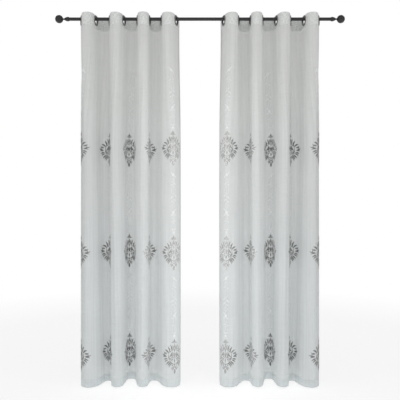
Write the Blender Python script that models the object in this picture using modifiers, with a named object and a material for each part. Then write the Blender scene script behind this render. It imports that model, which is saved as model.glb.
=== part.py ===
"""Pair of sheer voile curtains with eyelets, hung on a plain rod with ball finials.

Metres, +Z up. The origin is the middle of the rod's axis, +X runs along the rod and the room is at -Y.
Each curtain is one flat width of cloth. Its plan is drawn as a road would be: eight straight flanks,
one at each eyelet, joined by turns, so the cloth keeps its true width at every height.
"""

from math import asin, cos, pi, radians, sin, sqrt

import bmesh
import bpy
import numpy as np
from mathutils import Matrix, Vector

GAP = 0.0003
SHARP_ANGLE = radians(40)

# Rod and finials
ROD_DIAMETER = 0.019
ROD_LENGTH = 1.514
ROD_SIDES = 28
COLLAR_LENGTH = 0.029
COLLAR_DIAMETER = 0.025
NECK_DIAMETER = 0.009
BALL_DIAMETER = 0.046
BALL_CENTRE = 0.060  # from the rod's end to the middle of the ball
BALL_STEPS = 8
BEAD_SHAPE = ((0.0, 1.0), (0.6, 0.88), (0.9, 0.64), (1.0, 0.36), (0.93, 0.12))  # swell, share of length
FINIAL_SIDES = 20

# Cloth, as it was cut and sewn
PANEL_WIDTH = 1.321
CLOTH_THICKNESS = 0.0012
HEADING_THICKNESS = 0.0016
HEADING_TOP = 0.021
HEADING_BOTTOM = -0.050
HEM_LEVEL = -2.113
COLUMNS = 64
ROWS = (HEADING_BOTTOM - GAP, -0.15, -0.28, -0.42, -0.57, -0.75, -1.2, -1.65, HEM_LEVEL)

# Eyelets
EYELETS = 8
EYELET_INSET = 0.0515
EYELET_SPACING = 0.174
EYELET_STRAIGHT = 0.033  # half of the flat stretch of heading that each eyelet keeps
HOLE_RADIUS = 0.020
BARREL_RADIUS = 0.0222
FLANGE_RADIUS = 0.0305
FLANGE_THICKNESS = 0.0042
FLANGE_RIM = 0.0016
RING_SIDES = 16
RING_REST_GAP = 0.0010

# Where the folds stop following the eyelets and fall free, and how softly a turn starts and ends
FREE_FALL = 0.75
TURN_EASE = 0.09
OUTLINE_STEPS = 660

# The left curtain's flanks, from its outer side to the middle of the window. A flank is the cloth that
# runs between a front fold and a back one. Leans are in degrees from the rod, the odd flanks coming
# forward and the even ones going back. "at" is the run along the cloth, from its outer side, to the
# flank's middle, and "straight" is half the flank's flat length, both in metres. At the heading the
# flanks stand at the eyelets.
FLANKS = (
    # heading lean, straight, fall at, fall lean, hem at, hem lean
    (75, 0.030, 0.089, 86, 0.062, 87),
    (78, 0.020, 0.285, 77, 0.311, 73),
    (78, 0.025, 0.441, 79, 0.420, 79),
    (76, 0.035, 0.606, 78, 0.600, 85),
    (80, 0.040, 0.766, 72, 0.773, 79),
    (86, 0.020, 0.935, 91, 0.943, 85),
    (80, 0.025, 1.077, 71, 1.074, 66),
    (71, 0.016, 1.295, 86, 1.292, 90),
)

# Place of the cloth's middle thread, in the deep fold at the middle of the curtain
MIDDLE_THREAD = (
    # height, x, y
    (HEADING_BOTTOM, -0.400, 0.069),
    (-FREE_FALL, -0.430, 0.062),
    (HEM_LEVEL, -0.427, 0.074),
)

BLACK_METAL = ((0.012, 0.012, 0.013, 1.0), 0.35, 1.0)
NICKEL = ((0.35, 0.35, 0.34, 1.0), 0.3, 1.0)
VOILE = ((0.62, 0.64, 0.64, 1.0), 0.8, 0.0)
HEADING_CLOTH = ((0.58, 0.60, 0.59, 1.0), 0.85, 0.0)


def clear_scene():
    for obj in list(bpy.data.objects):
        bpy.data.objects.remove(obj, do_unlink=True)


def new_collection(name):
    collection = bpy.data.collections.new(name)
    bpy.context.scene.collection.children.link(collection)
    return collection


def new_material(name, finish):
    colour, roughness, metallic = finish
    material = bpy.data.materials.new(name)
    material.use_nodes = True
    shader = material.node_tree.nodes["Principled BSDF"]
    shader.inputs["Base Color"].default_value = colour
    shader.inputs["Roughness"].default_value = roughness
    shader.inputs["Metallic"].default_value = metallic
    material.diffuse_color = colour
    return material


def new_object(name, mesh, collection, finish=None):
    obj = bpy.data.objects.new(name, mesh)
    collection.objects.link(obj)
    if finish:
        mesh.materials.append(new_material(name, finish))
    return obj


def smooth(share):
    share = min(1.0, max(0.0, share))
    return share * share * (3.0 - 2.0 * share)


def fall_shares(height):
    """How far the folds are from the eyelets to their free fall, and from there to the hem."""
    to_fall = smooth((HEADING_BOTTOM - height) / (FREE_FALL + HEADING_BOTTOM))
    to_hem = max(0.0, (-FREE_FALL - height) / (-FREE_FALL - HEM_LEVEL))
    return to_fall, to_hem


def blend(values, shares):
    heading, fall, hem = values
    to_fall, to_hem = shares
    return heading + (fall - heading) * to_fall + (hem - fall) * to_hem


def eyelet_run(index):
    return EYELET_INSET + EYELET_SPACING * index


def flanks_at(height):
    """Each flank's start, end and direction at this height. The direction is an angle from +X."""
    shares = fall_shares(height)
    found = []
    for index, (lean, straight, fall_at, fall_lean, hem_at, hem_lean) in enumerate(FLANKS):
        middle = blend((eyelet_run(index), fall_at, hem_at), shares)
        half = blend((EYELET_STRAIGHT, straight, straight), shares)
        turn = radians(blend((lean, fall_lean, hem_lean), shares))
        found.append((middle - half, middle + half, -turn if index % 2 == 0 else turn))
    return found


def directions(runs, flanks):
    """The cloth's direction at each run: constant along a flank, and eased round the turn between two."""
    angles = np.full(len(runs), flanks[0][2])
    for (_, end, angle), (start, _, following) in zip(flanks, flanks[1:]):
        share = np.clip((runs - end) / (start - end), 0.0, 1.0)
        share = share - TURN_EASE * np.sin(2 * pi * share)
        angles = np.where(runs > end, angle + (following - angle) * share, angles)
    return angles


def middle_thread(height):
    to_fall, to_hem = fall_shares(height)
    return [blend([row[axis] for row in MIDDLE_THREAD], (to_fall, to_hem)) for axis in (1, 2)]


def outline(height):
    """Runs along the cloth with the x, y and direction of the left curtain at this height."""
    runs = np.linspace(0.0, PANEL_WIDTH, OUTLINE_STEPS + 1)
    angles = directions(runs, flanks_at(height))
    step = runs[1] - runs[0]
    x, y = (
        np.concatenate([[0.0], np.cumsum((part[1:] + part[:-1]) * step / 2)])
        for part in (np.cos(angles), np.sin(angles))
    )
    middle = OUTLINE_STEPS // 2
    middle_x, middle_y = middle_thread(height)
    return runs, x - x[middle] + middle_x, y - y[middle] + middle_y, angles


def cloth_object(name, side, heights, thickness, collection, finish):
    """A hanging width of cloth between these heights. side is 1 for the left curtain, -1 for the right."""
    mesh = bpy.data.meshes.new(name)
    grid = bmesh.new()
    rows = []
    for height in heights:
        runs, x, y, _ = outline(height)
        at = np.linspace(0.0, PANEL_WIDTH, COLUMNS + 1)
        row_x, row_y = np.interp(at, runs, x), np.interp(at, runs, y)
        rows.append([grid.verts.new((side * px, py, height)) for px, py in zip(row_x, row_y)])
    for upper, lower in zip(rows, rows[1:]):
        for column in range(COLUMNS):
            grid.faces.new((upper[column], lower[column], lower[column + 1], upper[column + 1]))
    grid.to_mesh(mesh)
    grid.free()
    mesh.shade_smooth()
    obj = new_object(name, mesh, collection, finish)
    solidify = obj.modifiers.new("Thickness", "SOLIDIFY")
    solidify.thickness = thickness
    solidify.offset = 0.0
    return obj


def eyelet_frame(index, side):
    """The matrix of an eyelet: its centre on the flank, and its axis square to the cloth."""
    runs, x, y, angles = outline(HEADING_BOTTOM)
    run = eyelet_run(index)
    centre_x, centre_y = np.interp(run, runs, x), np.interp(run, runs, y)
    angle = np.interp(run, runs, angles)
    # The ring hangs from the top of the rod, a hair clear of it
    reach = HOLE_RADIUS * cos(pi / RING_SIDES) - ROD_DIAMETER / 2 - RING_REST_GAP
    centre = Vector((side * centre_x, centre_y, -sqrt(reach**2 - centre_y**2)))
    axis = Vector((-side * sin(angle), cos(angle), 0.0))
    up = Vector((0.0, 0.0, 1.0))
    return Matrix.Translation(centre) @ Matrix((up.cross(axis), up, axis)).transposed().to_4x4()


def turned_object(name, profile, closed, sides, collection, finish):
    """A shape turned about Z from (radius, height) points that run down its outer side."""
    mesh = bpy.data.meshes.new(name)
    count = len(profile)
    edges = [(index, (index + 1) % count) for index in range(count if closed else count - 1)]
    mesh.from_pydata([(radius, 0.0, height) for radius, height in profile], edges, [])
    obj = new_object(name, mesh, collection, finish)
    screw = obj.modifiers.new("Turn", "SCREW")
    screw.axis = "Z"
    screw.angle = 2 * pi
    screw.steps = screw.render_steps = sides
    screw.use_merge_vertices = True
    screw.merge_threshold = 1e-6
    return obj


def ring_profile():
    """Both flanges, the barrel between them and the hole, as one closed outline."""
    groove = HEADING_THICKNESS / 2 + GAP
    rim = groove + FLANGE_RIM
    face = groove + FLANGE_THICKNESS
    half = ((HOLE_RADIUS, face), (FLANGE_RADIUS, rim), (FLANGE_RADIUS, groove), (BARREL_RADIUS, groove))
    return half + tuple((radius, -height) for radius, height in reversed(half))


def finial_profile():
    """Ball, neck and bead, from the outer end back to the rod's end."""
    ball = BALL_DIAMETER / 2
    neck = NECK_DIAMETER / 2
    bead = COLLAR_DIAMETER / 2
    turn = (pi - asin(neck / ball)) / BALL_STEPS
    profile = [(0.0, BALL_CENTRE + ball)]
    for step in range(1, BALL_STEPS + 1):
        profile.append((ball * sin(turn * step), BALL_CENTRE + ball * cos(turn * step)))
    for radius, along in BEAD_SHAPE:
        profile.append((neck + (bead - neck) * radius, COLLAR_LENGTH * along))
    return profile + [(ROD_DIAMETER / 2, 0.0), (0.0, 0.0)]


def make_rod(collection):
    mesh = bpy.data.meshes.new("rod")
    shape = bmesh.new()
    bmesh.ops.create_cone(
        shape,
        cap_ends=True,
        segments=ROD_SIDES,
        radius1=ROD_DIAMETER / 2,
        radius2=ROD_DIAMETER / 2,
        depth=ROD_LENGTH - 2 * GAP,
        matrix=Matrix.Rotation(pi / 2, 4, "Y"),
    )
    shape.to_mesh(mesh)
    shape.free()
    mesh.shade_smooth()
    mesh.set_sharp_from_angle(angle=SHARP_ANGLE)
    new_object("rod", mesh, collection, BLACK_METAL)


def make_finials(collection):
    for name, side in (("finial_left", -1), ("finial_right", 1)):
        obj = turned_object(name, finial_profile(), False, FINIAL_SIDES, collection, BLACK_METAL)
        obj.location.x = side * ROD_LENGTH / 2
        obj.rotation_euler.y = side * pi / 2


def make_heading(name, side, collection, cutters):
    """The opaque strip along the top, with a hole for each eyelet's barrel."""
    heights = (HEADING_TOP, HEADING_BOTTOM)
    strip = cloth_object(name, side, heights, HEADING_THICKNESS, collection, HEADING_CLOTH)
    punches = bpy.data.collections.new(name + "_punches")
    cutters.children.link(punches)
    for index in range(EYELETS):
        mesh = bpy.data.meshes.new(f"{name}_punch_{index + 1}")
        shape = bmesh.new()
        bmesh.ops.create_cone(
            shape,
            cap_ends=True,
            segments=RING_SIDES,
            radius1=BARREL_RADIUS + GAP,
            radius2=BARREL_RADIUS + GAP,
            depth=10 * HEADING_THICKNESS,
        )
        shape.to_mesh(mesh)
        shape.free()
        punch = new_object(mesh.name, mesh, punches)
        punch.matrix_world = eyelet_frame(index, side)
        punch.hide_render = True
        punch.display_type = "WIRE"
    cut = strip.modifiers.new("Eyelet holes", "BOOLEAN")
    cut.operation = "DIFFERENCE"
    cut.operand_type = "COLLECTION"
    cut.collection = punches
    cut.solver = "EXACT"


def make_eyelets(name, side, collection):
    for index in range(EYELETS):
        node = f"eyelet_{name}_{index + 1}"
        ring = turned_object(node, ring_profile(), True, RING_SIDES, collection, NICKEL)
        ring.matrix_world = eyelet_frame(index, side)


def main():
    clear_scene()
    curtains = new_collection("voile_curtains_on_rod")
    cutters = new_collection("cutters")
    make_rod(curtains)
    make_finials(curtains)
    for name, side in (("left", 1), ("right", -1)):
        cloth_object("panel_" + name, side, ROWS, CLOTH_THICKNESS, curtains, VOILE)
        make_heading("heading_" + name, side, curtains, cutters)
        make_eyelets(name, side, curtains)


main()
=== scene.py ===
# Pair of embroidered voile curtains on a black rod: cloth, thread, eyelets, light and camera
import math

import bmesh
import bpy
import numpy as np
from mathutils import Matrix, Vector


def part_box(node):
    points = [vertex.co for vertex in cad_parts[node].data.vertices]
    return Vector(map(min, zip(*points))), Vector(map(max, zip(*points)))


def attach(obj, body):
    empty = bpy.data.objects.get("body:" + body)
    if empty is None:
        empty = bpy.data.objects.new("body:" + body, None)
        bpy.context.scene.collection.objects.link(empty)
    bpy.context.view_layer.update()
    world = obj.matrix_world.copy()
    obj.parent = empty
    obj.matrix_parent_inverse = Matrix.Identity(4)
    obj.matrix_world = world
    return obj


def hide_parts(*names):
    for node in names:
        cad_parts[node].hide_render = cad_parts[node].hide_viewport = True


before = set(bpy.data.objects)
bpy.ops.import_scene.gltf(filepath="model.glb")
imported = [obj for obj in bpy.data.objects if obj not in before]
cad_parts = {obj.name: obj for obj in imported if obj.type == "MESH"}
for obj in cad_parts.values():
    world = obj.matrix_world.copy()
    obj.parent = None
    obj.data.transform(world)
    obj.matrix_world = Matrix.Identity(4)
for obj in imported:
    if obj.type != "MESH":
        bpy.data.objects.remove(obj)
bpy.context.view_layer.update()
millimetre = 0.001
body = "root"


# How the cloth hangs: the same folds as the solids, with softer troughs and ridges laid on them

headingLow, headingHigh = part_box("heading_left")
panelLow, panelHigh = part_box("panel_left")

clothPlan = {
    "width": 1.321,            # along the cloth, from side edge to side edge
    "columns": 440,
    "rows": 150,
    "tuckedIn": 0.006,         # voile caught inside the heading
    "freeFall": 0.75,          # below the rod, where the folds no longer follow the eyelets
    "turnEase": 0.09,
    "eyeletInset": 0.0515,
    "eyeletSpacing": 0.174,
    "eyeletStraight": 0.033,   # half of the flat stretch at each eyelet
    "eyelets": 8,
    "sideHem": 0.024,
    "bottomHem": 0.042,
    "layerGap": 0.0007,
}

# A flank is the cloth between a front fold and a back one. Degrees and metres, outer side first
flankTable = (
    # heading lean, straight, fall at, fall lean, hem at, hem lean
    (75, 0.030, 0.089, 86, 0.062, 87),
    (78, 0.020, 0.285, 77, 0.311, 73),
    (78, 0.025, 0.441, 79, 0.420, 79),
    (76, 0.035, 0.606, 78, 0.600, 85),
    (80, 0.040, 0.766, 72, 0.773, 79),
    (86, 0.020, 0.935, 91, 0.943, 85),
    (80, 0.025, 1.077, 71, 1.074, 66),
    (71, 0.016, 1.295, 86, 1.292, 90),
)

middleThread = (               # x and y of the cloth's middle: at the heading, in free fall, at the hem
    (-0.400, -0.430, -0.427),
    (0.069, 0.062, 0.074),
)

# Soft troughs (negative) and ridges, each listed along one curtain, in millimetres
creaseTable = (
    # run, half width, depth, from below the rod, to below the rod, drift of the run to its lower end
    (118, 9, 2.2, 50, 900, 10),
    (148, 13, -2.4, 60, 1500, 4),
    (171, 8, 1.6, 420, 2120, -6),
    (186, 10, -2.0, 50, 700, 8),
    (203, 12, 2.4, 60, 2120, -10),
    (247, 11, -2.6, 120, 1300, 14),
    (318, 14, 2.2, 60, 1000, 6),
    (352, 9, -1.8, 50, 1250, -8),
    (447, 10, 2.0, 60, 2120, 10),
    (482, 12, -3.0, 60, 1900, 6),
    (507, 9, 1.8, 300, 2120, -6),
    (538, 10, -2.2, 50, 820, 8),
    (602, 12, 2.4, 900, 2120, 12),
    (640, 11, -1.6, 60, 640, 4),
    (690, 13, 2.0, 1100, 2120, -8),
    (716, 9, -2.0, 50, 1200, -10),
    (798, 10, 2.0, 60, 1500, 8),
    (832, 13, -2.6, 60, 2120, -8),
    (861, 9, 1.6, 600, 2120, 4),
    (902, 11, -2.2, 60, 900, 10),
    (972, 12, 2.2, 60, 1700, -6),
    (1010, 10, -1.8, 700, 2120, 8),
    (1092, 13, -2.4, 60, 1400, 8),
    (1128, 9, 2.0, 50, 2120, -8),
    (1160, 12, -2.6, 500, 2120, 10),
    (1186, 9, 1.6, 60, 1000, -4),
    (1246, 11, 2.2, 60, 2120, 8),
    (1284, 12, -2.0, 800, 2120, -6),
)

runs = np.linspace(0.0, clothPlan["width"], clothPlan["columns"] + 1)
columnStep = clothPlan["width"] / clothPlan["columns"]


def easeInOut(share):
    share = np.clip(share, 0.0, 1.0)
    return share * share * (3.0 - 2.0 * share)


def fallShares(height):
    toFall = easeInOut((headingLow.z - height) / (clothPlan["freeFall"] + headingLow.z))
    toHem = max(0.0, (-clothPlan["freeFall"] - height) / (-clothPlan["freeFall"] - panelLow.z))
    return toFall, toHem


def between(values, shares):
    heading, fall, hem = values
    return heading + (fall - heading) * shares[0] + (hem - fall) * shares[1]


def eyeletRun(index):
    return clothPlan["eyeletInset"] + clothPlan["eyeletSpacing"] * index


def foldOutline(height):
    # x, y and direction of the left curtain at every run: straight flanks, and eased turns between them
    shares = fallShares(height)
    flanks = []
    for index, (lean, straight, fallAt, fallLean, hemAt, hemLean) in enumerate(flankTable):
        middle = between((eyeletRun(index), fallAt, hemAt), shares)
        half = between((clothPlan["eyeletStraight"], straight, straight), shares)
        turn = math.radians(between((lean, fallLean, hemLean), shares))
        flanks.append((middle - half, middle + half, -turn if index % 2 == 0 else turn))
    angles = np.full(len(runs), flanks[0][2])
    for (_, end, angle), (start, _, following) in zip(flanks, flanks[1:]):
        share = np.clip((runs - end) / (start - end), 0.0, 1.0)
        share = share - clothPlan["turnEase"] * np.sin(2 * math.pi * share)
        angles = np.where(runs > end, angle + (following - angle) * share, angles)
    outline = []
    for part, thread in zip((np.cos(angles), np.sin(angles)), middleThread):
        line = np.concatenate([[0.0], np.cumsum((part[1:] + part[:-1]) * columnStep / 2)])
        outline.append(line - line[clothPlan["columns"] // 2] + between(thread, shares))
    return outline[0], outline[1], angles


def creaseDepth(height):
    below = -height / millimetre
    depth = np.zeros(len(runs))
    for run, halfWidth, deep, start, end, drift in creaseTable:
        along = (below - start) / (end - start)
        fade = easeInOut((below - start) / 110.0) * easeInOut((end - below) / 260.0)
        if end > 2000:         # runs out through the hem
            fade = easeInOut((below - start) / 110.0)
        across = (runs / millimetre - run - drift * along) / halfWidth
        depth += deep * fade * np.exp(-across * across)
    return depth * millimetre


def hangingSurface(top, bottom, rows):
    heights = np.linspace(top, bottom, rows + 1)
    points = np.empty((rows + 1, len(runs), 3))
    for row, height in enumerate(heights):
        x, y, angles = foldOutline(height)
        depth = creaseDepth(height)
        points[row, :, 0] = x + depth * np.sin(angles)
        points[row, :, 1] = y - depth * np.cos(angles)
        points[row, :, 2] = height
    normals = np.cross(np.gradient(points, axis=0), np.gradient(points, axis=1))
    normals /= np.linalg.norm(normals, axis=2, keepdims=True)
    return {"top": top, "step": (top - bottom) / rows, "rows": rows, "points": points, "normals": normals}


def placeOn(surface, run, height, lift):
    # points in the world for places on the cloth, raised off it towards the room
    column = np.clip(run / columnStep, 0.0, clothPlan["columns"] - 1e-6)
    row = np.clip((surface["top"] - height) / surface["step"], 0.0, surface["rows"] - 1e-6)
    left, upper = column.astype(int), row.astype(int)
    across, down = (column - left)[..., None], (row - upper)[..., None]
    mixed = []
    for grid in (surface["points"], surface["normals"]):
        high = grid[upper, left] * (1 - across) + grid[upper, left + 1] * across
        low = grid[upper + 1, left] * (1 - across) + grid[upper + 1, left + 1] * across
        mixed.append(high * (1 - down) + low * down)
    return mixed[0] + mixed[1] * np.asarray(lift)[..., None]


voileTop = headingLow.z + clothPlan["tuckedIn"]
voileSurface = hangingSurface(voileTop, panelLow.z, clothPlan["rows"])
headingSurface = hangingSurface(headingHigh.z, headingLow.z, 24)
print("cloth worked out:", clothPlan["columns"], "by", clothPlan["rows"])


# Meshes and materials

def makePiece(name, points, faces, places, side, material):
    # side 1 is the left curtain, -1 the right one, its mirror image; places are metres along the piece
    points = np.array(points, float)
    points[:, 0] *= side
    if side < 0:
        faces = [tuple(reversed(face)) for face in faces]
    mesh = bpy.data.meshes.new(name)
    mesh.from_pydata(points.tolist(), [], faces)
    layer = mesh.uv_layers.new(name="UVMap")
    corner = np.empty(len(mesh.loops), np.int32)
    mesh.loops.foreach_get("vertex_index", corner)
    layer.data.foreach_set("uv", np.asarray(places, np.float32)[corner].ravel())
    mesh.shade_smooth()
    mesh.materials.append(material)
    piece = bpy.data.objects.new(name, mesh)
    bpy.context.scene.collection.objects.link(piece)
    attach(piece, body)
    return piece


def selectOnly(piece):
    bpy.ops.object.select_all(action="DESELECT")
    piece.select_set(True)
    bpy.context.view_layer.objects.active = piece


def applyModifiers(piece):
    selectOnly(piece)
    for modifier in list(piece.modifiers):
        bpy.ops.object.modifier_apply(modifier=modifier.name)


class NodeBench:
    # short calls for laying out a material's nodes
    def __init__(self, name):
        self.material = bpy.data.materials.new(name)
        self.material.use_nodes = True
        self.tree = self.material.node_tree
        self.tree.nodes.clear()
        self.output = self.add("ShaderNodeOutputMaterial")

    def add(self, kind, inputs=None, **settings):
        node = self.tree.nodes.new(kind)
        for key, value in settings.items():
            setattr(node, key, value)
        for key, value in (inputs or {}).items():
            self.feed(node.inputs[key], value)
        return node

    def feed(self, socket, value):
        if isinstance(value, bpy.types.NodeSocket):
            self.tree.links.new(value, socket)
        else:
            socket.default_value = value

    def sums(self, operation, first, second=0.0, third=0.0):
        node = self.add("ShaderNodeMath", operation=operation)
        for socket, value in zip(node.inputs, (first, second, third)):
            self.feed(socket, value)
        return node.outputs[0]

    def scaled(self, source, scale):
        node = self.add("ShaderNodeMapping", {"Vector": source, "Scale": scale})
        return node.outputs[0]

    def noise(self, vector, scale, detail=2.0, roughness=0.5):
        inputs = {"Vector": vector, "Scale": scale, "Detail": detail, "Roughness": roughness}
        return self.add("ShaderNodeTexNoise", inputs).outputs["Fac"]

    def spread(self, value, low, high, toLow, toHigh):
        inputs = {"Value": value, "From Min": low, "From Max": high, "To Min": toLow, "To Max": toHigh}
        return self.add("ShaderNodeMapRange", inputs).outputs["Result"]

    def tint(self, share, first, second):
        node = self.add("ShaderNodeMix", data_type="RGBA")
        self.feed(node.inputs[0], share)
        self.feed(node.inputs[6], (*first, 1.0))
        self.feed(node.inputs[7], (*second, 1.0))
        return node.outputs[2]

    def bump(self, height, distance, strength, below=None):
        node = self.add("ShaderNodeBump", {"Height": height, "Distance": distance, "Strength": strength})
        if below is not None:
            self.feed(node.inputs["Normal"], below)
        return node.outputs[0]

    def places(self):
        return self.add("ShaderNodeTexCoord").outputs["UV"]

    def space(self):
        return self.add("ShaderNodeTexCoord").outputs["Object"]

    def finish(self, shader):
        self.tree.links.new(shader, self.output.inputs["Surface"])
        return self.material


voileLook = {
    "upperColour": (0.78, 0.795, 0.775),
    "lowerColour": (0.755, 0.79, 0.795),
    "cover": 0.86,             # share of the surface that thread covers
    "threadPitch": 0.00062,
    "throughLight": 0.36,      # share of light that passes on through the threads
    "sheen": 0.7,
    "hemPaintedLighter": 1.09,         # two layers of thread over each other look whiter; this share lightens the hem's colour further, as painted light
    "puckerDepth": 0.0016,
}


def wovenCloth(bench, pitch):
    # the two thread directions, each from 0 to 1, and the raised crossings
    split = bench.add("ShaderNodeSeparateXYZ", {"Vector": bench.places()})
    waves = []
    for axis in ("X", "Y"):
        phase = bench.sums("MULTIPLY", split.outputs[axis], 2 * math.pi / pitch)
        waves.append(bench.sums("MULTIPLY_ADD", bench.sums("SINE", phase), 0.5, 0.5))
    return waves[0], waves[1], bench.sums("MULTIPLY", waves[0], waves[1])


def voileMaterial():
    look = voileLook
    bench = NodeBench("voile")
    places = bench.places()
    warp, weft, crossing = wovenCloth(bench, look["threadPitch"])
    slubAcross = bench.noise(bench.scaled(places, (9.0, 700.0, 1.0)), 1.0, 2.0, 0.6)
    slubDown = bench.noise(bench.scaled(places, (520.0, 5.0, 1.0)), 1.0, 2.0, 0.6)
    broad = bench.noise(bench.space(), 5.0, 2.0, 0.5)
    slubs = bench.sums("ADD", bench.sums("MULTIPLY", slubAcross, 0.5), bench.sums("MULTIPLY", slubDown, 0.5))
    height = bench.add("ShaderNodeSeparateXYZ", {"Vector": bench.space()}).outputs["Z"]
    down = bench.spread(height, -0.3, -1.7, 0.0, 1.0)
    hemTop = panelLow.z + clothPlan["bottomHem"]
    # painted light: the cloth below the top of the hem is coloured lighter by this share
    hem = bench.spread(height, hemTop, hemTop - 0.001, 1.0, look["hemPaintedLighter"])
    puckers = bench.noise(bench.scaled(places, (62.0, 0.9, 1.0)), 1.0, 2.0, 0.55)
    cloth = bench.tint(down, look["upperColour"], look["lowerColour"])
    slubShade = bench.spread(slubs, 0.3, 0.7, 0.93, 1.05)
    shade = bench.sums("ADD", slubShade, bench.spread(broad, 0.3, 0.7, -0.02, 0.02))
    # painted shade: the fine vertical puckers darken the cloth's colour along their troughs and lighten it
    # along their ridges
    shade = bench.sums("ADD", shade, bench.spread(puckers, 0.3, 0.7, -0.05, 0.05))
    shade = bench.sums("MULTIPLY", shade, hem)
    colour = bench.add("ShaderNodeMix", data_type="RGBA", blend_type="MULTIPLY")
    bench.feed(colour.inputs[0], 1.0)
    bench.feed(colour.inputs[6], cloth)
    greyShade = bench.add("ShaderNodeCombineColor", {"Red": shade, "Green": shade, "Blue": shade})
    bench.feed(colour.inputs[7], greyShade.outputs[0])
    gathered = bench.bump(puckers, look["puckerDepth"], 0.6)
    woven = bench.sums("ADD", crossing, bench.sums("MULTIPLY", slubs, 0.8))
    relief = bench.bump(woven, 0.00012, 0.5, gathered)
    front = bench.add("ShaderNodeBsdfPrincipled", {
        "Base Color": colour.outputs[2], "Roughness": 0.8, "Specular IOR Level": 0.25,
        "Sheen Weight": look["sheen"], "Sheen Roughness": 0.45, "Normal": relief})
    through = bench.add("ShaderNodeBsdfTranslucent", {"Color": colour.outputs[2], "Normal": relief})
    threads = bench.add("ShaderNodeMixShader", {"Fac": look["throughLight"]})
    bench.tree.links.new(front.outputs[0], threads.inputs[1])
    bench.tree.links.new(through.outputs[0], threads.inputs[2])
    weave = bench.sums("MULTIPLY", bench.sums("ADD", warp, weft), 0.5)
    cover = bench.sums("ADD", bench.spread(weave, 0.0, 1.0, look["cover"] - 0.10, look["cover"] + 0.10),
                       bench.spread(slubs, 0.3, 0.7, -0.05, 0.05))
    openWeave = bench.add("ShaderNodeBsdfTransparent")
    sheer = bench.add("ShaderNodeMixShader", {"Fac": cover})
    bench.tree.links.new(openWeave.outputs[0], sheer.inputs[1])
    bench.tree.links.new(threads.outputs[0], sheer.inputs[2])
    return bench.finish(sheer.outputs[0])


headingLook = {
    "colour": (0.90, 0.915, 0.90),
    "fleckColour": (0.60, 0.615, 0.60),
    "threadPitch": 0.0011,
}


def headingMaterial():
    look = headingLook
    bench = NodeBench("heading band")
    places = bench.places()
    warp, weft, crossing = wovenCloth(bench, look["threadPitch"])
    flecks = bench.noise(bench.scaled(places, (120.0, 170.0, 1.0)), 1.0, 4.0, 0.7)
    broad = bench.noise(bench.space(), 22.0, 2.0, 0.5)
    colour = bench.tint(bench.spread(flecks, 0.42, 0.62, 0.0, 1.0), look["colour"], look["fleckColour"])
    puckers = bench.sums("MULTIPLY", broad, 6.0)
    relief = bench.bump(bench.sums("ADD", bench.sums("ADD", crossing, flecks), puckers), 0.0004, 0.6)
    shader = bench.add("ShaderNodeBsdfPrincipled", {
        "Base Color": colour, "Roughness": bench.spread(flecks, 0.3, 0.7, 0.72, 0.9),
        "Specular IOR Level": 0.25, "Sheen Weight": 0.3, "Sheen Roughness": 0.5, "Normal": relief})
    return bench.finish(shader.outputs[0])


threadLook = {
    # darker and lighter colour, roughness, metallic
    "grey": ((0.105, 0.105, 0.103), (0.235, 0.235, 0.232), 0.42, 0.25),
    "white": ((0.82, 0.835, 0.835), (0.93, 0.94, 0.94), 0.42, 0.0),
    "sewing": ((0.66, 0.675, 0.67), (0.76, 0.77, 0.765), 0.6, 0.0),
    "stitchPitch": 0.00085,
}


def threadMaterial(kind):
    # satin stitches laid side by side across each leaf, a little slanted
    dark, light, roughness, metallic = threadLook[kind]
    bench = NodeBench(kind + " thread")
    split = bench.add("ShaderNodeSeparateXYZ", {"Vector": bench.places()})
    slanted = bench.sums("MULTIPLY_ADD", split.outputs["Y"], 0.45, split.outputs["X"])
    phase = bench.sums("MULTIPLY", slanted, 2 * math.pi / threadLook["stitchPitch"])
    stitch = bench.sums("MULTIPLY_ADD", bench.sums("SINE", phase), 0.5, 0.5)
    uneven = bench.noise(bench.space(), 160.0, 2.0, 0.6)
    patch = bench.noise(bench.space(), 28.0, 1.0, 0.5)
    mixed = bench.sums("ADD", bench.sums("MULTIPLY", stitch, 0.45), bench.sums("MULTIPLY", uneven, 0.55))
    patches = bench.spread(patch, 0.35, 0.65, -0.1, 0.2)
    share = bench.sums("ADD", bench.spread(mixed, 0.2, 0.8, 0.0, 0.8), patches)
    colour = bench.tint(share, dark, light)
    relief = bench.bump(bench.sums("ADD", stitch, bench.sums("MULTIPLY", uneven, 0.5)), 0.00018, 0.7)
    shader = bench.add("ShaderNodeBsdfPrincipled", {
        "Base Color": colour, "Roughness": bench.spread(uneven, 0.3, 0.7, roughness - 0.06, roughness + 0.1),
        "Metallic": metallic, "Specular IOR Level": 0.7, "Sheen Weight": 0.2, "Sheen Roughness": 0.35,
        "Normal": relief})
    return bench.finish(shader.outputs[0])


def nickelMaterial():
    # satin dark nickel, brushed round the ring and duller where it has been handled
    bench = NodeBench("dark nickel")
    brushed = bench.noise(bench.scaled(bench.places(), (24.0, 5200.0, 1.0)), 1.0, 3.0, 0.6)
    smudge = bench.noise(bench.space(), 70.0, 3.0, 0.6)
    share = bench.sums("ADD", bench.sums("MULTIPLY", brushed, 0.5), bench.sums("MULTIPLY", smudge, 0.5))
    colour = bench.tint(bench.spread(share, 0.3, 0.7, 0.0, 1.0), (0.26, 0.26, 0.255), (0.42, 0.42, 0.41))
    relief = bench.bump(brushed, 0.00003, 0.5)
    shader = bench.add("ShaderNodeBsdfPrincipled", {
        "Base Color": colour, "Metallic": 1.0, "Roughness": bench.spread(smudge, 0.3, 0.7, 0.24, 0.4),
        "Normal": relief})
    return bench.finish(shader.outputs[0])


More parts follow.
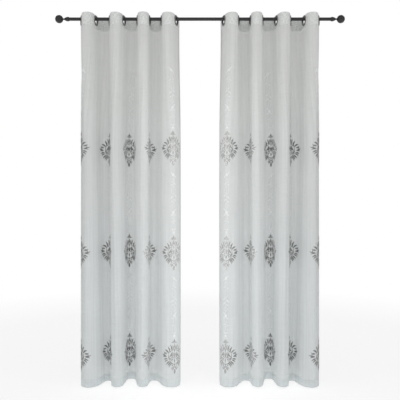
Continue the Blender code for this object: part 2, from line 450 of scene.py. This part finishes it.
def blackMetalMaterial():
    # satin black powder coat, with the fine orange-peel of a baked finish
    bench = NodeBench("black powder coat")
    space = bench.space()
    grain = bench.noise(space, 2600.0, 2.0, 0.55)
    peel = bench.noise(space, 420.0, 2.0, 0.5)
    rubbed = bench.noise(bench.scaled(space, (6.0, 60.0, 60.0)), 1.0, 3.0, 0.6)
    wear = bench.spread(rubbed, 0.35, 0.7, 0.0, 1.0)
    colour = bench.tint(wear, (0.010, 0.010, 0.011), (0.021, 0.021, 0.022))
    relief = bench.bump(bench.sums("ADD", grain, bench.sums("MULTIPLY", peel, 2.0)), 0.00006, 0.55)
    shader = bench.add("ShaderNodeBsdfPrincipled", {
        "Base Color": colour, "Roughness": bench.spread(rubbed, 0.3, 0.7, 0.30, 0.44),
        "Specular IOR Level": 0.5, "Normal": relief})
    return bench.finish(shader.outputs[0])


voileFinish = voileMaterial()
headingFinish = headingMaterial()
greyThread = threadMaterial("grey")
whiteThread = threadMaterial("white")
sewingThread = threadMaterial("sewing")
nickelFinish = nickelMaterial()
blackFinish = blackMetalMaterial()
print("materials ready")


def gridFaces(rows, columns, keep=None):
    faces = []
    for row in range(rows):
        for column in range(columns):
            if keep is None or keep[row, column]:
                first = row * (columns + 1) + column
                below = first + columns + 1
                faces.append((first, below, below + 1, first + 1))
    return faces


def makeVoile(name, side):
    # one width of cloth, its side edges turned behind first and its bottom edge after them
    plan = clothPlan
    gap = plan["layerGap"]
    turned = np.arange(1, round(plan["sideHem"] / columnStep) + 1) * columnStep
    runAlong = np.concatenate([turned[::-1], runs, plan["width"] - turned])
    along = np.concatenate([-turned[::-1], runs, plan["width"] + turned])
    atSide = (along < 0) | (along > plan["width"])
    levels = np.linspace(voileTop, panelLow.z, plan["rows"] + 1)
    turnedUp = np.linspace(0.0, plan["bottomHem"], 5)
    heights = np.concatenate([levels, panelLow.z + turnedUp])
    down = np.concatenate([levels, panelLow.z - 2 * gap - turnedUp])
    behind = np.concatenate([np.zeros(len(levels), bool), np.ones(len(turnedUp), bool)])
    inHem = np.clip((turned[-1] + 0.006 - np.minimum(runAlong, plan["width"] - runAlong)) / 0.006, 0.0, 1.0)
    single = np.where(atSide, -gap, 0.0)
    doubled = np.where(atSide, -2 * gap, -gap - 2 * gap * inHem)
    lift = np.where(behind[:, None], doubled[None, :], single[None, :])
    run, height = np.meshgrid(runAlong, heights)
    points = placeOn(voileSurface, run.ravel(), height.ravel(), lift.ravel())
    places = np.stack(np.meshgrid(along, down), axis=-1).reshape(-1, 2)
    faces = gridFaces(len(heights) - 1, len(runAlong) - 1)
    piece = makePiece(name, points, faces, places, side, voileFinish)
    return piece


headingPlan = {
    "thickness": 0.0015,
    "holeRadius": 0.0245,
    "seamAbove": 0.0045,       # stitching above the lower edge
    "edgeRound": 0.0005,
}


def eyeletCentre(sideName, index):
    low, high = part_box(f"eyelet_{sideName}_{index + 1}")
    return (low + high) / 2


def makeHeading(name, side):
    rows = headingSurface["rows"]
    run, height = np.meshgrid(runs, np.linspace(headingHigh.z, headingLow.z, rows + 1))
    keep = np.ones((rows, clothPlan["columns"]), bool)
    radius = headingPlan["holeRadius"]
    for index in range(clothPlan["eyelets"]):
        middleRun, middleHeight = eyeletRun(index), eyeletCentre("left", index).z
        away = np.hypot(run - middleRun, height - middleHeight)
        inside = away < radius + 0.1 * columnStep
        keep &= ~(inside[:-1, :-1] & inside[1:, :-1] & inside[:-1, 1:] & inside[1:, 1:])
        push = np.where(inside, radius / np.maximum(away, 1e-6), 1.0)
        run = middleRun + (run - middleRun) * push
        height = middleHeight + (height - middleHeight) * push
    points = placeOn(headingSurface, run.ravel(), height.ravel(), np.zeros(run.size))
    places = np.stack([run.ravel(), height.ravel()], axis=-1)
    faces = gridFaces(rows, clothPlan["columns"], keep)
    used = np.unique(np.array(faces))
    renumber = np.full(len(points), -1)
    renumber[used] = np.arange(len(used))
    faces = [tuple(int(renumber[corner]) for corner in face) for face in faces]
    piece = makePiece(name, points[used], faces, places[used], side, headingFinish)
    solidify = piece.modifiers.new("Two layers and band", "SOLIDIFY")
    solidify.thickness = headingPlan["thickness"]
    solidify.offset = 0.0
    bevel = piece.modifiers.new("Folded edges", "BEVEL")
    bevel.width = headingPlan["edgeRound"]
    bevel.segments = 2
    bevel.limit_method = "ANGLE"
    bevel.angle_limit = math.radians(60)
    applyModifiers(piece)
    return piece


# Thread laid on the cloth

bandSection = (                # share of the half width, share of the height
    (1.0, 0.15), (0.55, 0.8), (0.0, 1.0), (-0.55, 0.8), (-1.0, 0.15), (0.0, -0.5),
)


def joined(parts):
    points, faces, places, start = [], [], [], 0
    for partPoints, partFaces, partPlaces in parts:
        points.append(partPoints)
        places.append(partPlaces)
        faces.extend(tuple(corner + start for corner in face) for face in partFaces)
        start += len(partPoints)
    return np.concatenate(points), faces, np.concatenate(places)


def threadBand(path, halfWidths, height, closed=False):
    # a raised band along a path on the flat cloth: (across, up, lift) points, faces, (along, across) places
    path = np.asarray(path, float)
    if closed:
        ahead = np.roll(path, -1, axis=0) - np.roll(path, 1, axis=0)
    else:
        ahead = np.gradient(path, axis=0)
    ahead /= np.maximum(np.linalg.norm(ahead, axis=1, keepdims=True), 1e-9)
    sideways = np.stack([-ahead[:, 1], ahead[:, 0]], axis=1)
    lengths = np.concatenate([[0.0], np.cumsum(np.linalg.norm(np.diff(path, axis=0), axis=1))])
    points, places = [], []
    for spot, away, half, length in zip(path, sideways, halfWidths, lengths):
        for across, raised in bandSection:
            u, v = spot + away * half * across
            points.append((u, v, height * raised))
            places.append((length, half * across))
    around, count = len(bandSection), len(path)
    faces = []
    for index in range(count if closed else count - 1):
        this, following = index * around, (index + 1) % count * around
        for corner in range(around):
            nextCorner = (corner + 1) % around
            faces.append((this + corner, this + nextCorner, following + nextCorner, following + corner))
    if not closed:
        faces.append(tuple(range(around - 1, -1, -1)))
        faces.append(tuple((count - 1) * around + corner for corner in range(around)))
    return np.array(points), faces, np.array(places)


def leaf(start, tip, width, bend, height, steps=7):
    # pointed at both ends and fullest past its middle; bend pushes its middle to the left of its way
    start, tip = np.array(start, float), np.array(tip, float)
    way = tip - start
    push = np.array([-way[1], way[0]]) * bend
    share = np.linspace(0.0, 1.0, steps + 1)[:, None]
    path = start + way * share + push * 4 * share * (1 - share)
    swell = np.sin(math.pi * share[:, 0] ** 0.85) ** 0.75
    return threadBand(path, np.maximum(width / 2 * swell, width * 0.04), height)


def ring(centre, radii, width, height, steps=16):
    turn = np.linspace(0.0, 2 * math.pi, steps, endpoint=False)
    path = np.stack([centre[0] + radii[0] * np.cos(turn), centre[1] + radii[1] * np.sin(turn)], axis=1)
    return threadBand(path, np.full(steps, width / 2), height, closed=True)


def scroll(centre, outer, inner, start, turns, width, height, steps=14):
    # a curl that winds in; turns below zero wind clockwise
    share = np.linspace(0.0, 1.0, steps + 1)
    turn = math.radians(start) + 2 * math.pi * turns * share
    radius = outer + (inner - outer) * share
    path = np.stack([centre[0] + radius * np.cos(turn), centre[1] + radius * np.sin(turn)], axis=1)
    return threadBand(path, width / 2 * (0.35 + 0.65 * share), height)


medallionPlan = {
    "runs": (0.132, 0.396, 0.673, 0.943, 1.200),
    "heights": (-0.755, -1.350, -1.938),
    "threadHeight": 0.55,      # of the raised satin stitch, in millimetres
    "fineness": 0.86,
    "lift": 0.0003,
}

# Leaves on the axis, in millimetres: start, tip, width
axisLeaves = (
    (80, 99, 8.0),             # top finial
    (50, 72, 7.0),             # bud under it
    (27, 44, 7.0),
    (-5, 20, 12.0),            # heart of the palmette
    (-15, -34, 8.0),
    (-40, -55, 6.0),
    (-73, -99, 12.0),          # hanging bud
)

# Leaves of the right half, repeated on the left: start, tip, width, bend
sideLeaves = (
    # crown
    ((1, 75), (19, 79), 5.4, 0.12),
    ((2, 82), (10, 91), 4.2, -0.16),
    ((3, 53), (10, 67), 5.2, -0.20),
    # three lobes that point up and lean outwards
    ((11, 36), (9, 55), 6.0, 0.16),
    ((16, 34), (25, 66), 8.6, 0.12),
    ((22, 40), (39, 58), 6.4, -0.16),
    # cup of two lobes that point out and up
    ((30, 21), (38, 47), 9.0, 0.20),
    ((35, 18), (61, 35), 10.0, 0.16),
    # pale loop of the wide fan, drawn with three lobes
    ((49, 12), (70, 25), 6.0, -0.10),
    ((52, 3), (82, 9), 8.0, -0.10),
    ((49, -3), (76, -9), 6.6, 0.12),
    # heavy vein that sweeps from the heart to the fan
    ((14, 27), (35, -3), 10.0, -0.16),
    ((36, -4), (26, -24), 7.0, -0.12),
    # petals of the heart
    ((4, -8), (14, 12), 6.4, -0.22),
    ((18, 2), (9, 24), 5.6, 0.20),
    ((7, -12), (20, -24), 6.6, 0.10),
    ((12, -7), (24, -12), 5.0, 0.16),
    # lobes that bend down and out
    ((40, -13), (68, -24), 8.4, 0.10),
    ((36, -20), (61, -36), 8.0, 0.12),
    ((27, -27), (50, -49), 9.0, 0.10),
    ((20, -32), (41, -56), 8.0, 0.10),
    ((15, -36), (34, -64), 7.0, 0.10),
    # lattice under the heart
    ((24, -28), (5, -46), 6.0, 0.10),
    ((18, -44), (4, -58), 5.6, 0.10),
    # side leaves of the hanging bud
    ((3, -64), (15, -80), 6.8, 0.16),
    ((10, -60), (20, -70), 5.0, 0.12),
)

# Curved stems of the right half: points in order, width
sideStems = (
    (((44, 14), (56, 19), (66, 12), (60, 1), (47, -1)), 4.0),
    (((33, 22), (35, 10), (37, -4), (34, -18)), 2.6),
    (((9, 33), (18, 32), (27, 24)), 2.6),
    (((30, -18), (22, -33), (11, -41), (3, -46)), 2.6),
    (((9, 40), (7, 48), (2, 52)), 2.8),
)

# Curls of the right half: centre, outer and inner radius, start angle, turns, width
sideScrolls = (
    ((27, -17), 6.0, 2.2, 60, 1.0, 3.0),
    ((16, -24), 4.4, 1.8, 120, -0.9, 2.6),
)

# The round that the hanging bud is tied to: height, radius, width
budRing = (-67, 8.0, 3.6)


def smoothPath(corners, steps=9):
    # a curve that passes through the corners, eased between them
    corners = np.array(corners, float)
    at = np.linspace(0, len(corners) - 1, steps + 1)
    index = np.minimum(at.astype(int), len(corners) - 2)
    share = (at - index)[:, None]
    padded = np.concatenate([[2 * corners[0] - corners[1]], corners, [2 * corners[-1] - corners[-2]]])
    before, first, second, after = (padded[index + step] for step in range(4))
    return 0.5 * (2 * first + (second - before) * share
                  + (2 * before - 5 * first + 4 * second - after) * share ** 2
                  + (3 * first - before - 3 * second + after) * share ** 3)


def medallion():
    # one medallion, drawn flat about its own centre, in millimetres
    high = medallionPlan["threadHeight"]
    parts = [leaf((0, start), (0, tip), width, 0.0, high) for start, tip, width in axisLeaves]
    stem = np.stack([np.zeros(14), np.linspace(-66, 80, 14)], axis=1)
    parts.append(threadBand(stem, np.full(14, 0.9), high * 0.7))
    for mirror in (1, -1):
        for start, tip, width, bend in sideLeaves:
            begin, end = (start[0] * mirror, start[1]), (tip[0] * mirror, tip[1])
            parts.append(leaf(begin, end, width * medallionPlan["fineness"], bend * mirror, high))
        for corners, width in sideStems:
            path = smoothPath([(u * mirror, v) for u, v in corners])
            parts.append(threadBand(path, np.full(len(path), width / 2), high * 0.8))
        for centre, outer, inner, start, turns, width in sideScrolls:
            angle = start if mirror > 0 else 180 - start
            middle = (centre[0] * mirror, centre[1])
            parts.append(scroll(middle, outer, inner, angle, turns * mirror, width, high))
    middle, radius, width = budRing
    parts.append(ring((0, middle), (radius, radius), width, high))
    return joined(parts)


garlandPlan = {
    "threadHeight": 0.5,
    "petals": 6,
    "petalReach": 9.0,
    "petalWidth": 5.6,
}

# All heights are millimetres above the centre of the medallion below
garlandFlowers = (444, 231, 117)
garlandOvals = (
    # middle, half width, half height, thread width
    (0, 412, 7, 13, 1.3),
    (0, 358, 12, 23, 1.5),
    (0, 203, 8, 14, 1.3),
    (0, 152, 11, 20, 1.5),
    (0, 270, 7, 15, 1.3),
)
garlandLeaves = (
    # start, tip, width, bend
    ((3, 440), (16, 424), 4.6, 0.14),
    ((-3, 450), (-14, 462), 4.4, 0.14),
    ((2, 396), (15, 386), 4.4, 0.12),
    ((-2, 392), (-15, 380), 4.4, -0.12),
    ((3, 330), (17, 318), 4.8, 0.12),
    ((-2, 322), (-16, 306), 4.8, -0.12),
    ((2, 306), (15, 292), 4.6, 0.12),
    ((-1, 296), (-14, 286), 4.4, -0.12),
    ((4, 236), (19, 252), 5.6, 0.12),
    ((-4, 226), (-17, 212), 5.2, 0.12),
    ((3, 224), (15, 210), 4.6, 0.12),
    ((2, 184), (14, 176), 4.2, 0.12),
    ((-2, 182), (-14, 172), 4.2, -0.12),
    ((3, 128), (14, 138), 4.2, 0.12),
    ((-3, 126), (-14, 136), 4.2, -0.12),
)
garlandDots = (
    (0, 358), (0, 152), (9, 470), (-8, 402), (11, 340), (-11, 270), (10, 262), (-9, 196), (8, 104), (-8, 104),
)


def garland():
    high = garlandPlan["threadHeight"]
    heights = np.linspace(106, 462, 40)
    stem = np.stack([2.2 * np.sin(heights / 19.0), heights], axis=1)
    parts = [threadBand(stem, np.full(len(stem), 0.7), high * 0.6)]
    for middle in garlandFlowers:
        for petal in range(garlandPlan["petals"]):
            turn = math.radians(360 / garlandPlan["petals"] * petal + 30)
            reach = garlandPlan["petalReach"]
            tip = (reach * math.cos(turn), middle + reach * math.sin(turn))
            start = (1.5 * math.cos(turn), middle + 1.5 * math.sin(turn))
            parts.append(leaf(start, tip, garlandPlan["petalWidth"], 0.0, high, 5))
        parts.append(ring((0, middle), (1.6, 1.6), 2.4, high * 1.3, 8))
    for u, middle, halfWidth, halfHeight, width in garlandOvals:
        parts.append(ring((u, middle), (halfWidth, halfHeight), width, high, 22))
    for start, tip, width, bend in garlandLeaves:
        parts.append(leaf(start, tip, width, bend, high, 6))
    for spot in garlandDots:
        parts.append(ring(spot, (1.1, 1.1), 2.0, high, 8))
    return joined(parts)


def embroidery(name, side, drawing, material):
    # both kinds of motif repeat at the medallions' places
    points, faces, places = drawing
    parts = []
    for height in medallionPlan["heights"]:
        for run in medallionPlan["runs"]:
            flat = points * millimetre
            lift = medallionPlan["lift"] + flat[:, 2]
            placed = placeOn(voileSurface, run + flat[:, 0], height + flat[:, 1], lift)
            parts.append((placed, faces, places * millimetre))
    piece = makePiece(name, *joined(parts), side, material)
    return piece


seamPlan = {
    "stitch": 0.0031,
    "pitch": 0.0040,
    "width": 0.0007,
    "height": 0.00035,
}


def seam(surface, places, behind, off):
    # a row of stitches along places on the cloth; behind puts it on the wall's side
    places = np.asarray(places)
    lengths = np.concatenate([[0.0], np.cumsum(np.linalg.norm(np.diff(places, axis=0), axis=1))])
    count = int(lengths[-1] / seamPlan["pitch"])
    parts = []
    for index in range(count):
        at = (index + 0.5) * seamPlan["pitch"] + np.array([-0.5, 0.5]) * seamPlan["stitch"]
        ends = np.stack([np.interp(at, lengths, places[:, axis]) for axis in (0, 1)], axis=1)
        path = ends[::-1] if behind else ends
        points, faces, uv = leaf(path[0], path[1], seamPlan["width"], 0.0, seamPlan["height"], 2)
        lift = off + points[:, 2]
        if behind:
            faces = [tuple(reversed(face)) for face in faces]
            lift = -lift
        parts.append((placeOn(surface, points[:, 0], points[:, 1], lift), faces, uv))
    return joined(parts)


def makeSeams(name, side):
    width = clothPlan["width"]
    hem = panelLow.z + clothPlan["bottomHem"] - 0.003
    heading = headingLow.z + headingPlan["seamAbove"]
    sideIn = clothPlan["sideHem"] - 0.003
    offHeading = headingPlan["thickness"] / 2 + 0.00005
    offHem = 0.00015
    parts = []
    for behind in (False, True):
        parts.append(seam(headingSurface, ((0.002, heading), (width - 0.002, heading)), behind, offHeading))
        back = 2 * clothPlan["layerGap"] if behind else 0.0
        parts.append(seam(voileSurface, ((0.002, hem), (width - 0.002, hem)), behind, offHem + back))
    for run in (sideIn, width - sideIn):
        parts.append(seam(voileSurface, ((run, voileTop - 0.01), (run, panelLow.z + 0.002)), False, offHem))
    piece = makePiece(name, *joined(parts), side, sewingThread)
    return piece


medallionDrawing = medallion()
garlandDrawing = garland()
print("medallion", len(medallionDrawing[1]), "faces, garland", len(garlandDrawing[1]), "faces")

for sideName, side in (("left", 1), ("right", -1)):
    voile = makeVoile("voile_" + sideName, side)
    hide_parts("panel_" + sideName)
    heading = makeHeading("heading_band_" + sideName, side)
    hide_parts("heading_" + sideName)
    medallions = embroidery("medallions_" + sideName, side, medallionDrawing, greyThread)
    garlands = embroidery("garlands_" + sideName, side, garlandDrawing, whiteThread)
    seams = makeSeams("seams_" + sideName, side)
    print("curtain made:", sideName)


eyeletPlan = {
    "sides": 48,
    "outline": (               # radius and height in millimetres, from the hole over the front to the cloth
        (20.0, 3.4), (20.25, 4.5), (21.0, 5.2), (22.4, 5.25), (24.6, 4.85), (27.0, 4.1), (29.0, 3.1),
        (30.1, 2.3), (30.5, 1.6), (30.3, 1.05), (29.6, 0.85), (22.2, 0.85),
    ),
}


def makeEyelet():
    # a ring of edges, drawn out over both flanges and back round to where it began
    front = eyeletPlan["outline"]
    outline = front + tuple((radius, -height) for radius, height in reversed(front))
    radius, height = outline[0]
    bpy.ops.object.select_all(action="DESELECT")
    bpy.ops.mesh.primitive_circle_add(vertices=eyeletPlan["sides"], radius=radius * millimetre,
                                      location=(0, 0, 0))
    eyelet = bpy.context.object
    bpy.ops.object.mode_set(mode="EDIT")
    bpy.ops.mesh.select_all(action="SELECT")
    bpy.ops.transform.translate(value=(0, 0, height * millimetre))
    for nextRadius, nextHeight in outline[1:] + outline[:1]:
        rise = (nextHeight - height) * millimetre
        bpy.ops.mesh.extrude_region_move(TRANSFORM_OT_translate={"value": (0, 0, rise)})
        grow = nextRadius / radius
        bpy.ops.transform.resize(value=(grow, grow, 1), center_override=(0, 0, nextHeight * millimetre))
        radius, height = nextRadius, nextHeight
    bpy.ops.mesh.select_all(action="SELECT")
    bpy.ops.mesh.remove_doubles(threshold=1e-6)
    bpy.ops.mesh.normals_make_consistent(inside=False)
    bpy.ops.object.mode_set(mode="OBJECT")
    return eyelet


def layRound(mesh):
    # a UV map in metres: round the ring, and out from its hole
    layer = mesh.uv_layers.get("UVMap") or mesh.uv_layers.new(name="UVMap")
    for loop in mesh.loops:
        place = mesh.vertices[loop.vertex_index].co
        turn = math.atan2(place.y, place.x)
        layer.data[loop.index].uv = (turn * 0.025, math.hypot(place.x, place.y))


pattern = makeEyelet()
layRound(pattern.data)
_, _, headingAngles = foldOutline(headingLow.z)
for sideName, side in (("left", 1), ("right", -1)):
    for index in range(clothPlan["eyelets"]):
        angle = float(np.interp(eyeletRun(index), runs, headingAngles))
        axis = Vector((-side * math.sin(angle), math.cos(angle), 0.0))
        up = Vector((0.0, 0.0, 1.0))
        turned = Matrix((up.cross(axis), up, axis)).transposed().to_4x4()
        mesh = pattern.data.copy()
        mesh.transform(Matrix.Translation(eyeletCentre(sideName, index)) @ turned)
        mesh.materials.clear()
        mesh.materials.append(nickelFinish)
        piece = bpy.data.objects.new(f"eyelet_ring_{sideName}_{index + 1}", mesh)
        bpy.context.scene.collection.objects.link(piece)
        selectOnly(piece)
        bpy.ops.object.shade_smooth_by_angle(angle=math.radians(50))
        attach(piece, body)
        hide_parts(f"eyelet_{sideName}_{index + 1}")
bpy.data.objects.remove(pattern, do_unlink=True)
print("eyelets made:", 2 * clothPlan["eyelets"])


finialPlan = {
    "sides": 56,
    "neckRadius": 4.5,
    "ballRadius": 23.0,
    "ballCentre": 60.0,
    "ballSteps": 18,
    "startGap": 0.3,           # between the rod's end and the finial
    "bead": ((9.5, 1.2), (10.4, 2.2), (11.8, 3.6), (12.45, 6.5), (12.5, 10.0), (12.0, 14.0), (11.1, 17.5),
             (9.8, 21.0), (8.2, 24.5), (6.6, 27.2), (5.2, 29.6), (4.5, 32.0)),
}


def finialOutline():
    # radius and distance from the rod's end, in millimetres
    plan = finialPlan
    meet = math.pi - math.asin(plan["neckRadius"] / plan["ballRadius"])
    ball = []
    for step in range(plan["ballSteps"] + 1):
        turn = meet * (1 - step / plan["ballSteps"])
        ball.append((max(plan["ballRadius"] * math.sin(turn), 0.05),
                     plan["ballCentre"] + plan["ballRadius"] * math.cos(turn)))
    return plan["bead"] + tuple(ball)


def makeFinial(name, side):
    # a short cylinder at the rod's end, its outer face drawn out over the bead, the neck and the ball
    plan = finialPlan
    outline = finialOutline()
    rodLow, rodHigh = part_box("rod")
    rodEnd = rodHigh.x if side > 0 else rodLow.x
    startGap = plan["startGap"]
    radius, height = outline[0]
    depth = height - startGap
    bpy.ops.object.select_all(action="DESELECT")
    bpy.ops.mesh.primitive_cylinder_add(vertices=plan["sides"], radius=radius * millimetre,
                                        depth=depth * millimetre, end_fill_type="TRIFAN",
                                        location=(0, 0, (startGap + depth / 2) * millimetre))
    finial = bpy.context.object
    finial.name = name
    bpy.ops.object.transform_apply(location=True, rotation=True, scale=True)
    bpy.ops.object.mode_set(mode="EDIT")
    bpy.ops.mesh.select_mode(type="FACE")
    shape = bmesh.from_edit_mesh(finial.data)
    for face in shape.faces:
        face.select_set(face.normal.z > 0.9)
    bmesh.update_edit_mesh(finial.data)
    for nextRadius, nextHeight in outline[1:]:
        rise = (nextHeight - height) * millimetre
        bpy.ops.mesh.extrude_region_move(TRANSFORM_OT_translate={"value": (0, 0, rise)})
        grow = nextRadius / radius
        bpy.ops.transform.resize(value=(grow, grow, 1), center_override=(0, 0, nextHeight * millimetre))
        radius, height = nextRadius, nextHeight
    bpy.ops.mesh.select_all(action="SELECT")
    bpy.ops.mesh.remove_doubles(threshold=1e-6)
    bpy.ops.object.mode_set(mode="OBJECT")
    finial.data.transform(Matrix.Translation((rodEnd, 0, 0)) @ Matrix.Rotation(side * math.pi / 2, 4, "Y"))
    finial.data.materials.append(blackFinish)
    bpy.ops.object.shade_smooth_by_angle(angle=math.radians(45))
    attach(finial, body)
    return finial


for sideName, side in (("left", -1), ("right", 1)):
    finial = makeFinial("ball_finial_" + sideName, side)
    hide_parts("finial_" + sideName)

rod = bpy.data.objects["rod"]
rod.data.materials.clear()
rod.data.materials.append(blackFinish)
print("rod and finials made")


stagePlan = {
    "floorGap": 0.012,
    "floorRadius": 6.0,
    "background": 1.0,
    "lightFromRoom": 0.67,
    "lightFromWall": 0.12,
    "lightFromSides": 0.16,
    "crossLight": 1.2,         # watts of each tall lamp
    "threadLight": 21.0,       # and of each that lights the satin thread only
    "crossLightWidth": 0.06,
    "threadLightWidth": 0.30,
    "lampLength": 1.8,
    "lampHeight": -1.2,
    "lampAcross": 0.30,        # past the middle of the rod, on the other curtain's side
    "lampForward": 0.50,
    "lampAim": 0.41,           # along the rod, near the middle of a curtain
    "floorFadeStart": 2.2,
    "floorFadeEnd": 3.6,
}


def makeFloor():
    bench = NodeBench("pale floor")
    reach = bench.add("ShaderNodeVectorMath", {0: bench.space()}, operation="LENGTH").outputs["Value"]
    toEdge = bench.spread(reach, stagePlan["floorFadeStart"], stagePlan["floorFadeEnd"], 0.0, 1.0)
    mottle = bench.noise(bench.space(), 3.0, 2.0, 0.5)
    near = bench.add("ShaderNodeBsdfPrincipled", {
        "Base Color": bench.tint(mottle, (0.30, 0.30, 0.30), (0.32, 0.32, 0.32)), "Roughness": 0.9,
        "Emission Color": (1.0, 1.0, 1.0, 1.0), "Emission Strength": 0.78})
    white = (1.0, 1.0, 1.0, 1.0)
    far = bench.add("ShaderNodeEmission", {"Color": white, "Strength": stagePlan["background"]})
    mix = bench.add("ShaderNodeMixShader", {"Fac": toEdge})
    bench.tree.links.new(near.outputs[0], mix.inputs[1])
    bench.tree.links.new(far.outputs[0], mix.inputs[2])
    bpy.ops.object.select_all(action="DESELECT")
    bpy.ops.mesh.primitive_circle_add(vertices=96, radius=stagePlan["floorRadius"], fill_type="NGON",
                                      location=(0, 0, panelLow.z - stagePlan["floorGap"]))
    floor = bpy.context.object
    floor.name = "floor"
    floor.data.materials.append(bench.finish(mix.outputs[0]))


def addCrossLamp(name, side, width, power):
    lamp = bpy.data.lights.new(name, "AREA")
    lamp.shape = "RECTANGLE"
    lamp.size = width
    lamp.size_y = stagePlan["lampLength"]
    lamp.energy = power
    light = bpy.data.objects.new(name, lamp)
    light.location = (-side * stagePlan["lampAcross"], -stagePlan["lampForward"], stagePlan["lampHeight"])
    aim = Vector((side * stagePlan["lampAim"], 0.0, stagePlan["lampHeight"])) - light.location
    light.rotation_euler = aim.to_track_quat("-Z", "Y").to_euler()
    light.visible_camera = False
    bpy.context.scene.collection.objects.link(light)
    return light


def makeLight():
    scene = bpy.context.scene
    world = bpy.data.worlds.new("studio")
    world.use_nodes = True
    scene.world = world
    tree = world.node_tree
    tree.nodes.clear()
    # what the camera sees is plain white; what lights the curtains is bright on the room's side only
    direction = tree.nodes.new("ShaderNodeSeparateXYZ")
    tree.links.new(tree.nodes.new("ShaderNodeTexCoord").outputs["Generated"], direction.inputs[0])
    strength = tree.nodes.new("ShaderNodeMapRange")
    strength.interpolation_type = "SMOOTHSTEP"
    for socket, value in (("From Min", -0.6), ("From Max", 0.5), ("To Min", stagePlan["lightFromRoom"]),
                          ("To Max", stagePlan["lightFromWall"])):
        strength.inputs[socket].default_value = value
    tree.links.new(direction.outputs["Y"], strength.inputs["Value"])
    sideways = tree.nodes.new("ShaderNodeMath")
    sideways.operation = "ABSOLUTE"
    tree.links.new(direction.outputs["X"], sideways.inputs[0])
    raised = tree.nodes.new("ShaderNodeMath")
    raised.operation = "MULTIPLY_ADD"
    raised.inputs[1].default_value = stagePlan["lightFromSides"]
    tree.links.new(sideways.outputs[0], raised.inputs[0])
    tree.links.new(strength.outputs["Result"], raised.inputs[2])
    seen = tree.nodes.new("ShaderNodeBackground")
    seen.inputs["Strength"].default_value = stagePlan["background"]
    given = tree.nodes.new("ShaderNodeBackground")
    tree.links.new(raised.outputs[0], given.inputs["Strength"])
    for node in (seen, given):
        node.inputs["Color"].default_value = (1.0, 1.0, 1.0, 1.0)
    path = tree.nodes.new("ShaderNodeLightPath")
    mix = tree.nodes.new("ShaderNodeMixShader")
    output = tree.nodes.new("ShaderNodeOutputWorld")
    tree.links.new(path.outputs["Is Camera Ray"], mix.inputs[0])
    tree.links.new(given.outputs[0], mix.inputs[1])
    tree.links.new(seen.outputs[0], mix.inputs[2])
    tree.links.new(mix.outputs[0], output.inputs["Surface"])
    # tall lamps for each curtain, shining across from the middle of the window
    for sideName, side in (("left", -1), ("right", 1)):
        addCrossLamp("cross light " + sideName, side, stagePlan["crossLightWidth"], stagePlan["crossLight"])
        satin = bpy.data.collections.new("satin thread " + sideName)
        satin.objects.link(bpy.data.objects["medallions_" + sideName])
        lamp = addCrossLamp("thread light " + sideName, side, stagePlan["threadLightWidth"],
                            stagePlan["threadLight"])
        lamp.light_linking.receiver_collection = satin
    scene.view_settings.view_transform = "Standard"
    scene.cycles.transparent_max_bounces = 48


cameraPlan = {
    "lens": 50,
    "sensorWidth": 36,
    "place": (0.0, -3.222, -1.049),
}


def makeCamera():
    data = bpy.data.cameras.new("camera")
    data.lens = cameraPlan["lens"]
    data.sensor_width = cameraPlan["sensorWidth"]
    camera = bpy.data.objects.new("camera", data)
    camera.location = cameraPlan["place"]
    camera.rotation_euler = (math.radians(90), 0.0, 0.0)
    bpy.context.scene.collection.objects.link(camera)
    bpy.context.scene.camera = camera


makeFloor()
makeLight()
makeCamera()
